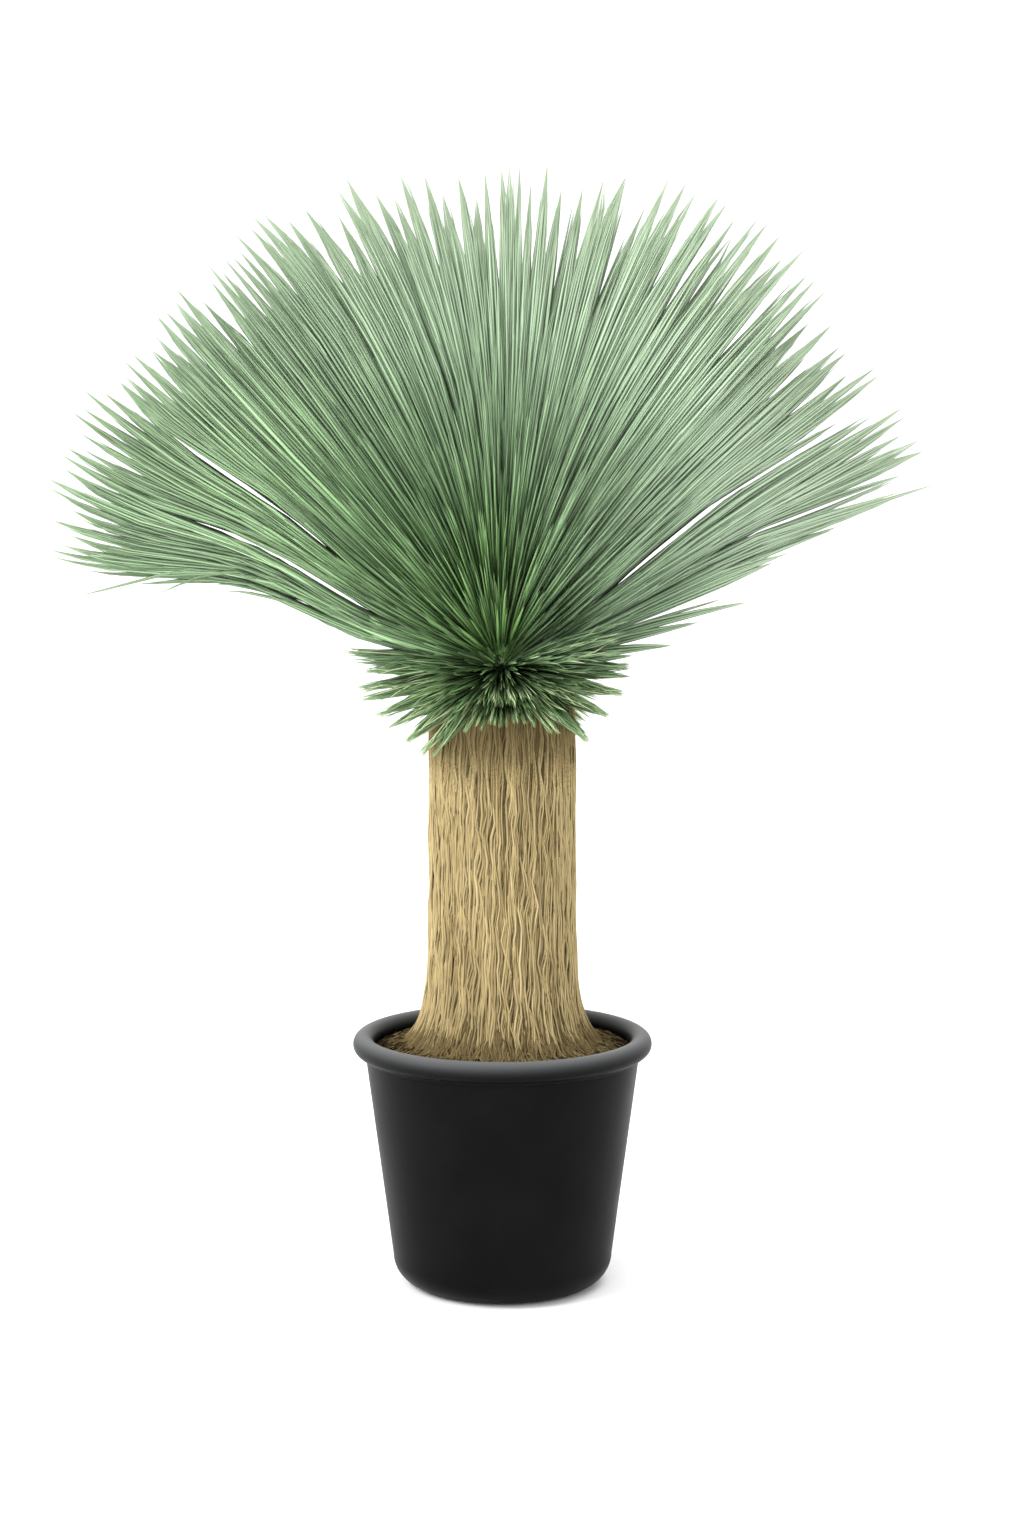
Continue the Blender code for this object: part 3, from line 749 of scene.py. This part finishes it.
# The ball of leaf bases: its radius, the angle down to which it is round, and its two greens, kept near black
# as painted shade of the crowded centre
leafBase = {
    "radius": 0.028,
    "downTo": -65,
    "steps": 48,
    "deep": (0.012, 0.035, 0.012),
    "green": (0.05, 0.11, 0.04),
}
baseProfile = arcPoints((0.0, eye["centre"][2]), leafBase["radius"], 90, leafBase["downTo"], 13)
baseProfile = np.concatenate([baseProfile, [[0.0, baseProfile[-1, 1] - 0.002]]])
baseStops = [(0.3, leafBase["deep"]), (0.7, leafBase["green"])]
baseFinish = mottledMaterial("leafBaseFinish", 0.7, 90.0, 500.0, baseStops, None)
headPieces.append(turnedMesh("leafBases", baseProfile, leafBase["steps"], baseFinish))

for piece in headPieces:
    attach(piece, "root")
    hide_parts("leaf_head")


# The mound of the potting mix

mulch = {
    "fibres": 4200,
    "inner": 0.088,
    "outer": 0.1385,
    "slopeFrom": 0.100,
    "wallLevel": 0.2515,
    "trunkLevel": 0.2625,
    "stations": np.linspace(0, 1, 5),
    "light": (0.185, 0.140, 0.060),
    "middle": (0.058, 0.042, 0.018),
    "dark": (0.016, 0.011, 0.005),
}


def mulchLevel(radius):
    # height of the mix: highest at the trunk and falling away to the wall
    share = np.clip((radius - mulch["slopeFrom"]) / (mulch["outer"] - mulch["slopeFrom"]), 0, 1)
    return mulch["trunkLevel"] + (mulch["wallLevel"] - mulch["trunkLevel"]) * share ** 1.5


# The trunk in its thatch

thatch = {
    "top": 0.600,
    "strandTop": 0.626,
    "foot": 0.2625,
    "radius": 0.0755,
    "taper": 0.0035,
    "flare": 0.028,
    "flareDecay": 0.027,
    "strands": 4700,
    "width": 0.0034,
    "thickness": 0.0032,
    "stations": np.linspace(0, 1, 8),
    "light": (0.555, 0.445, 0.232),
    "straw": (0.335, 0.254, 0.116),
    "brown": (0.115, 0.082, 0.034),
    "dark": (0.020, 0.013, 0.006),
    "runners": 1100,
    "runnerWidth": 0.0026,
    "runnerThickness": 0.0008,
    "runnerStations": np.linspace(0, 1, 7),
}
# The stem under the thatch: its top, how far it lies under the thatch's outline, and the plug in the mix
stem = {"top": 0.602, "topRadius": 0.068, "inset": 0.0040, "plugRadius": 0.059, "plugFoot": 0.1810}


def thatchRadius(z):
    # a slow taper, and a flare that grows towards the mix
    down = np.clip((thatch["top"] - z) / thatch["top"], 0, 1)
    flare = thatch["flare"] * np.exp(-(z - thatch["foot"]) / thatch["flareDecay"])
    return thatch["radius"] + thatch["taper"] * down + flare


def makeThatchMaterial():
    # Straw strands with their own tone and fine lines, dark edges painted as the shade between strands, brown
    # as painted shade at the top under the skirt, and brown as soil stain with painted shade at the foot
    material, tree, shader = newMaterial("dryThatchFinish", 0.85, 0.15)
    tone = attribute(tree, "tone")
    base = ramp(tree, tone, [(0.0, thatch["brown"]), (0.30, thatch["straw"]), (1.0, thatch["light"])])
    line = fineLine(tree, tone, 3.2, 7.0)
    lineStops = [(0.32, (0.30, 0.26, 0.20)), (0.46, (0.95, 0.94, 0.92)), (0.70, (1.20, 1.20, 1.17))]
    lined = mixColour(tree, "MULTIPLY", 0.9, base, ramp(tree, line, lineStops))
    # painted shade: each strand's edges darken towards near black, as the shade between strands
    edgeShade = mathNode(tree, "POWER", mathNode(tree, "ABSOLUTE", attribute(tree, "across")), 1.35)
    lined = mixColour(tree, "MIX", mathNode(tree, "MULTIPLY", edgeShade, 0.97), lined, thatch["dark"])
    # brown mix: painted shade under the skirt at the top, and soil stain with painted shade at the foot
    brown = mixColour(tree, "MIX", attribute(tree, "soilAndShade"), lined, thatch["brown"])
    tree.links.new(brown, shader.inputs["Base Color"])
    bump(tree, shader, line, 0.5, 0.0008)
    return material


def thatchStrands(name, material, seed):
    # Strands lie along the trunk's side in layers, spread evenly by two fixed steps. Each follows the
    # trunk's outline, waves with its neighbours and a little by itself, and dips into the thatch at both
    # ends. The deepest layers are the darkest, as painted shade between strands. At the top all darken and
    # brown as painted shade under the skirt, and at the foot they brown as soil stain with painted shade.
    draw = np.random.default_rng(seed)
    each = (thatch["strands"], 1)
    s = thatch["stations"]
    length = 0.055 + 0.105 * draw.random(each)
    aroundShare, heightShare = [np.arange(each[0])[:, None] * step % 1.0 for step in evenSteps]
    foot, top = thatch["foot"], thatch["strandTop"]
    middle = foot + (top - foot) * heightShare
    topEnd = np.minimum(middle + length / 2, top)
    lowEnd = np.maximum(middle - length / 2, foot)
    z = topEnd + (lowEnd - topEnd) * s
    around = math.tau * aroundShare
    shared = 0.0022 * softNoise(around * 9, z * 60, 21) + 0.0011 * softNoise(around * 26, z * 150, 22)
    own = 0.0006 * np.sin(math.tau * (z * 22 + draw.random(each)))
    angle = around + (shared + own) / thatch["radius"]
    layer = draw.random(each)
    lift = -0.0044 + 0.0054 * layer - 0.0022 * (2 * np.abs(s - 0.5)) ** 3
    lift = lift + 0.0007 * softNoise(around * 9, z * 45, 23)
    paths = polar(thatchRadius(z) + lift, angle, z)
    blunt = (2 * s - 1) ** 4
    width = 0.5 * thatch["width"] * (0.6 + 0.7 * draw.random(each)) * np.sqrt(np.clip(1 - blunt, 0.02, 1))
    thick = 0.5 * thatch["thickness"] * np.clip(1.1 - blunt, 0.1, 1)
    # tone is lower in the deeper layers and near the top, both painted shade; the rest differs at random
    tone = 0.06 + 0.72 * layer + 0.40 * (draw.random(each) - 0.5) - 0.22 * smoothStep((z - 0.536) / 0.055)
    # brown at the top as painted shade under the skirt, and at the foot as soil stain with painted shade
    soilAndShade = 0.56 * smoothStep((z - 0.540) / 0.056)
    soilAndShade = soilAndShade + 0.90 * smoothStep((0.284 - z) / 0.026) * (0.30 + draw.random(each))
    return addBlades(name, paths, width, thick, polar(1.0, angle, 0.0), material, {
        "along": z * 6,
        "tone": np.clip(tone, 0, 1),
        "soilAndShade": np.clip(soilAndShade, 0, 0.90)})


def footRunners(name, material, seed):
    # Loose straw runs down the flare and out over the mix. Its height is the flare's own where that lies
    # higher, z = foot - decay x ln((r - base) / flare), and the mix's level beyond.
    draw = np.random.default_rng(seed)
    each = (thatch["runners"], 1)
    s = thatch["runnerStations"]
    around = math.tau * (np.arange(each[0])[:, None] * goldenStep % 1.0)
    start = 0.082 + 0.026 * draw.random(each)
    reach = np.minimum(start + 0.010 + 0.020 * draw.random(each), 0.124)
    radius = start + (reach - start) * s
    base = thatch["radius"] + thatch["taper"] * 0.56
    flare = thatch["foot"] - thatch["flareDecay"] * np.log(np.maximum(radius - base, 1e-4) / thatch["flare"])
    z = np.maximum(flare, mulchLevel(radius)) + 0.0006 + 0.0022 * draw.random(each) * np.sin(math.pi * s)
    angle = around + 0.05 * draw.normal(0, 1, each) * s + 0.012 * np.sin(9 * s + 6 * around)
    width = 0.5 * thatch["runnerWidth"] * (0.6 + 0.6 * draw.random(each)) * taper(s, 0.5) ** 0.6
    tone = 0.70 * draw.random(each) ** 1.8
    # browner further out over the mix, as soil stain with painted shade at the foot
    soilAndShade = np.clip((radius - 0.086) / 0.017, 0, 1) * (0.46 + 0.75 * draw.random(each))
    return addBlades(name, polar(radius, angle, z), width, thatch["runnerThickness"], polar(0.5, angle, 0.87),
                     material, {"along": radius * 20, "tone": tone, "soilAndShade": np.clip(soilAndShade, 0, 0.92)})


print("thatch")
thatchFinish = makeThatchMaterial()
runners = footRunners("footRunners", thatchFinish, 32)
strands = thatchStrands("thatchStrands", thatchFinish, 31)
stemHeights = np.linspace(thatch["top"], thatch["foot"] - 0.002, 40)
stemProfile = [(0.0, stem["top"]), (stem["topRadius"], stem["top"])]
stemProfile += [(thatchRadius(z) - stem["inset"], z) for z in stemHeights]
stemProfile += [(stem["plugRadius"], thatch["foot"] - 0.0025), (stem["plugRadius"], stem["plugFoot"]),
                (0.0, stem["plugFoot"])]
stemStops = [(0.3, thatch["dark"]), (0.75, thatch["brown"])]
stemFinish = mottledMaterial("stemShadeFinish", 0.95, 60.0, 700.0, stemStops, (0.5, 0.001))
stemCore = turnedMesh("stemCore", stemProfile, 120, stemFinish)
for piece in (strands, runners, stemCore):
    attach(piece, "root")
    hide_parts("trunk")


# The bark on the mound

def makeMulchMaterial():
    # Brown bark and fibre: each scrap has its own tone from near black to straw
    material, tree, shader = newMaterial("barkMixFinish", 0.95, 0.1)
    tone = attribute(tree, "tone")
    base = ramp(tree, tone, [(0.0, mulch["dark"]), (0.45, mulch["middle"]), (1.0, mulch["light"])])
    line = fineLine(tree, tone, 2.0, 9.0)
    shade = ramp(tree, line, [(0.3, (0.55, 0.5, 0.45)), (0.65, (1.1, 1.1, 1.1))])
    tree.links.new(mixColour(tree, "MULTIPLY", 0.9, base, shade), shader.inputs["Base Color"])
    bump(tree, shader, line, 0.5, 0.0006)
    return material


def mulchFibres(name, material, seed):
    # Short scraps lie on the mound, mostly pointing away from the trunk, a little arched and jumbled
    draw = np.random.default_rng(seed)
    each = (mulch["fibres"], 1)
    s = mulch["stations"]
    around = math.tau * draw.random(each)
    centreRadius = mulch["inner"] + (mulch["outer"] - mulch["inner"]) * np.sqrt(draw.random(each))
    heading = around + draw.normal(0, 0.55, each)
    length = 0.005 + 0.011 * draw.random(each) ** 1.5
    flat = polar(centreRadius, around, 0.0) + (s - 0.5)[:, None] * polar(length, heading, 0.0)
    radius = np.linalg.norm(flat, axis=-1)
    paths = flat / np.maximum(radius / mulch["outer"], 1.0)[..., None]
    arch = 1 - (2 * s - 1) ** 2
    level = mulchLevel(np.minimum(radius, mulch["outer"])) - 0.0016 + 0.0045 * draw.random(each)
    paths[..., 2] = level + 0.0018 * arch * draw.random(each)
    width = 0.5 * (0.0010 + 0.0016 * draw.random(each) ** 1.4) * np.sqrt(np.clip(arch, 0.05, 1))
    roll = draw.normal(0, 0.7, each)
    facing = polar(np.sin(roll), heading + 1.57, np.cos(roll))
    return addBlades(name, paths, width, 0.6 * width, facing, material,
                     {"along": s, "tone": draw.random(each) ** 1.5})


print("potting mix")
mulchFinish = makeMulchMaterial()
scraps = mulchFibres("mulchFibres", mulchFinish, 51)
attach(scraps, "root")
bedStops = [(0.3, mulch["dark"]), (0.7, mulch["middle"])]
bedFinish = mottledMaterial("mixBedFinish", 0.95, 120.0, 900.0, bedStops, (0.8, 0.002))
soilNode = frame["nodes"]["potting_mix"]
soilNode.data.materials.clear()
soilNode.data.materials.append(bedFinish)


# The pot

potShape = {
    "rimOuter": 0.160,
    "roll": 0.0113,
    "height": 0.272,
    "wall": 0.003,
    "radiusAtRim": 0.1483,
    "radiusAtGround": 0.1137,
    "corner": 0.0316,
    "steps": 160,
    "holes": 8,
    "holeRadius": 0.0065,
    "holesAt": 0.0515,
    "black": (0.0022, 0.0022, 0.0023),
    "worn": (0.0040, 0.0040, 0.0040),
    # pale grey of the painted highlight on the rim's top, and the height where it starts and over which it
    # grows
    "rimTopHighlight": (0.125, 0.128, 0.131),
    "highlightFrom": 0.252,
    "highlightOver": 0.020,
    "roughness": (0.30, 0.52),
    "gloss": 0.05,
}


def potProfile():
    # from the floor's inner face up the inside, round the rim's roll, down the outside and in under the foot
    roll, wall, corner, ground = [potShape[label] for label in ("roll", "wall", "corner", "radiusAtGround")]
    atRim = potShape["radiusAtRim"]
    rimLevel = potShape["height"] - roll
    slope = (atRim - ground) / rimLevel
    cornerCentre = (ground + slope * corner - corner, corner)
    under = np.array([(0.075, 0.0), (0.070, 0.004), (0.033, 0.004), (0.028, 0.0), (0.0, 0.0)])
    inside = np.concatenate([arcPoints(cornerCentre, corner - wall, 0, -90, 10), under + [0, wall]])[::-1]
    lip = [(atRim - slope * roll - wall, rimLevel - 0.9 * roll)]
    rim = arcPoints((potShape["rimOuter"] - roll, rimLevel), roll, 245, -62, 30)
    neck = [(atRim + 0.0022, rimLevel - 1.02 * roll), (atRim + 0.0012, rimLevel - 1.22 * roll),
            (atRim - 0.0022, rimLevel - 1.34 * roll)]
    levels = np.linspace(rimLevel - 2.0 * roll, corner, 12)
    side = np.stack([ground + slope * levels, levels], axis=-1)
    foot = arcPoints(cornerCentre, corner, 0, -90, 14)[1:]
    return np.concatenate([inside, lip, rim, neck, side, foot, under])


def makePotMaterial():
    # Satin black plastic: faint rings from the mould, soft scuffs, a fine grain, and a painted highlight
    # along the top of the rolled rim
    material, tree, shader = newMaterial("satinBlackFinish", potShape["roughness"][0], potShape["gloss"])
    broad, grain, place = mottle(tree, 14.0, 900.0)
    level = node(tree, "ShaderNodeSeparateXYZ", {0: place}).outputs[2]
    given = {"W": level, "Scale": 140.0, "Detail": 2.0}
    rings = node(tree, "ShaderNodeTexNoise", given, noise_dimensions="1D").outputs["Fac"]
    colour = ramp(tree, broad, [(0.35, potShape["black"]), (0.75, potShape["worn"])])
    # painted highlight: the colour turns pale grey towards the top of the rim's roll
    over = potShape["highlightOver"]
    above = mathNode(tree, "MULTIPLY_ADD", level, 1 / over, -potShape["highlightFrom"] / over)
    above = mathNode(tree, "MINIMUM", mathNode(tree, "MAXIMUM", above, 0.0), 1.0)
    colour = mixColour(tree, "MIX", mathNode(tree, "POWER", above, 3.0), colour, potShape["rimTopHighlight"])
    tree.links.new(colour, shader.inputs["Base Color"])
    tree.links.new(runBetween(tree, broad, *potShape["roughness"]), shader.inputs["Roughness"])
    height = mathNode(tree, "MULTIPLY_ADD", rings, 0.6, mathNode(tree, "MULTIPLY", grain, 0.25))
    bump(tree, shader, height, 0.12, 0.0006)
    return material


print("pot")
potFinish = makePotMaterial()
pot = turnedMesh("nurseryPot", potProfile(), potShape["steps"], potFinish)
cutterSet = bpy.data.collections.new("drainCutters")
hole = potShape["holeRadius"]
for number in range(potShape["holes"]):
    angle = math.tau * (number + 0.5) / potShape["holes"]
    cutterProfile = [(0.0, 0.02), (hole, 0.02), (hole, -0.01), (0.0, -0.01)]
    cutter = turnedMesh(f"drainCutter{number}", cutterProfile, 24, potFinish)
    cutter.location = polar(potShape["holesAt"], angle, 0.0)
    cutterSet.objects.link(cutter)
    bpy.context.scene.collection.objects.unlink(cutter)
cut = pot.modifiers.new("drainHoles", "BOOLEAN")
cut.operation = "DIFFERENCE"
cut.operand_type = "COLLECTION"
cut.collection = cutterSet
cut.solver = "EXACT"
bpy.context.scene.collection.children.link(cutterSet)
bpy.context.view_layer.update()
bakedPot = bpy.data.meshes.new_from_object(pot.evaluated_get(bpy.context.evaluated_depsgraph_get()))
pot.modifiers.clear()
pot.data = bakedPot
for cutter in list(cutterSet.objects):
    bpy.data.objects.remove(cutter, do_unlink=True)
bpy.data.collections.remove(cutterSet)
pot.data.shade_smooth()
pot.data.set_sharp_from_angle(angle=math.radians(40))
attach(pot, "root")
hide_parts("pot")


# Floor, light and camera

print("studio")
floorMaterial, _, floorShader = newMaterial("paleFloor", 0.9)
floorShader.inputs["Base Color"].default_value = (0.97, 0.97, 0.97, 1)
sweepShape = {"half": 9.0, "front": -6.0, "bend": 3.0, "back": 6.0, "height": 9.0}
bend = sweepShape["bend"]
bendAngles = np.linspace(0.1, 1.5708, 16)
run = np.concatenate([[sweepShape["front"], bend], bend + bend * np.sin(bendAngles), [sweepShape["back"]]])
rise = np.concatenate([[0.0, 0.0], bend - bend * np.cos(bendAngles), [sweepShape["height"]]])
across = sweepShape["half"] * np.array([-1.0, 1.0])
sweepPoints = np.stack(np.broadcast_arrays(across, run[:, None], rise[:, None]), axis=-1).reshape(-1, 3)
row = np.arange(len(run) - 1) * 2
sweepFaces = np.stack([row, row + 1, row + 3, row + 2], axis=-1)
sweep = addMesh("studioSweep", sweepPoints, sweepFaces, [], floorMaterial)

world = bpy.data.worlds.new("softStudio")
world.use_nodes = True
background = world.node_tree.nodes["Background"].inputs
background["Color"].default_value = (1, 1, 1, 1)
background["Strength"].default_value = 1.15
bpy.context.scene.world = world


def softLight(name, place, target, size, power):
    # a square area light that looks at a point
    lamp = bpy.data.lights.new(name, "AREA")
    lamp.size = size
    lamp.energy = power
    light = bpy.data.objects.new(name, lamp)
    bpy.context.scene.collection.objects.link(light)
    light.location = place
    aim = np.array(target) - np.array(place)
    flatAim = math.hypot(aim[0], aim[1])
    light.rotation_euler = (math.atan2(flatAim, -aim[2]), 0, math.atan2(aim[1], aim[0]) - math.pi / 2)


softLight("keyLight", (-2.9, -1.5, 2.9), (0, 0, 0.7), 2.2, 155)
softLight("fillLight", (-0.9, -3.4, 1.7), (0, 0, 0.7), 1.6, 26)
softLight("topLight", (1.1, 0.3, 3.5), (0.1, 0, 0.6), 2.4, 58)

cameraData = bpy.data.cameras.new("studioCamera")
cameraData.sensor_width = view["sensor"]
cameraData.lens = view["lens"]
cameraData.clip_end = 60
camera = bpy.data.objects.new("studioCamera", cameraData)
bpy.context.scene.collection.objects.link(camera)
camera.location = view["place"]
camera.rotation_euler = (math.pi / 2 - view["pitch"], 0, 0)
bpy.context.scene.camera = camera
bpy.context.scene.view_settings.view_transform = "Standard"
